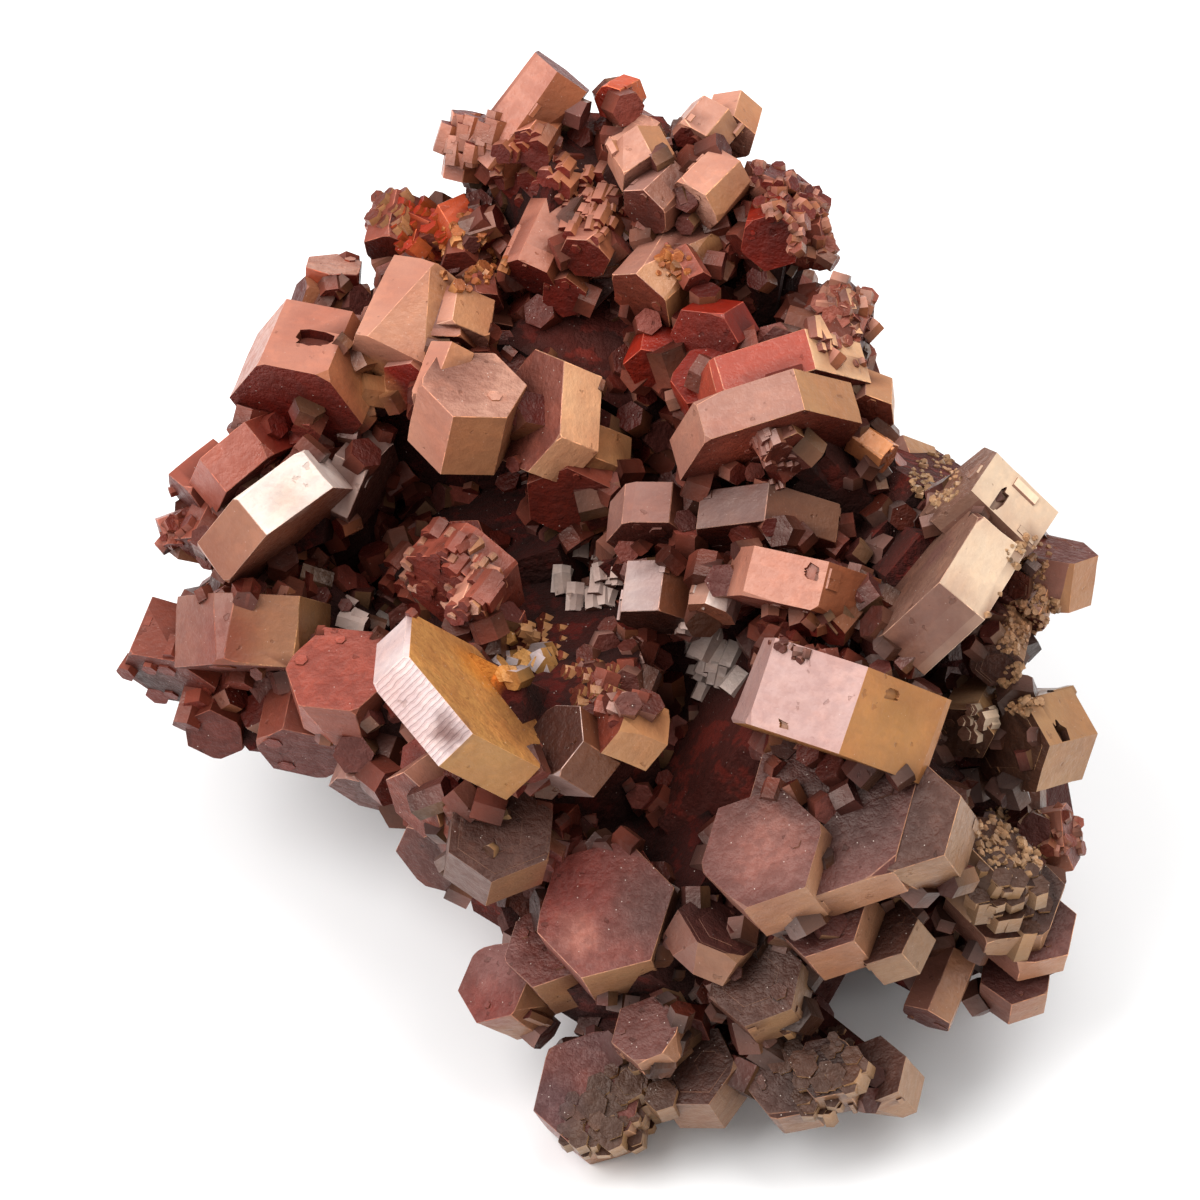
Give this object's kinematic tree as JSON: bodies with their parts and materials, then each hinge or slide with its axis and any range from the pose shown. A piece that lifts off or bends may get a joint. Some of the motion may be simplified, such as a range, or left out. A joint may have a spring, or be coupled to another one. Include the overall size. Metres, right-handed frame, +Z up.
{
  "type": "vanadinite mineral specimen",
  "caption": "Loose cluster of vanadinite: stubby six-sided crystals grown together at many angles over a stump, broken off flat underneath so that it stands.",
  "frame": {"origin": "under the middle of the cluster's box, on the flat broken face that it rests on", "axes": "+Z up, the picture is taken from -Y looking down at 45 degrees, +X to the right of the picture"},
  "size_m": [0.049, 0.049, 0.0368],
  "materials": {
    "vanadinite": "resinous to dull, etched and pitted, brown-red ends and pink to tan sides"
  },
  "bodies": {
    "root": {"vanadinite_cluster": "vanadinite"}
  },
  "joints": []
}
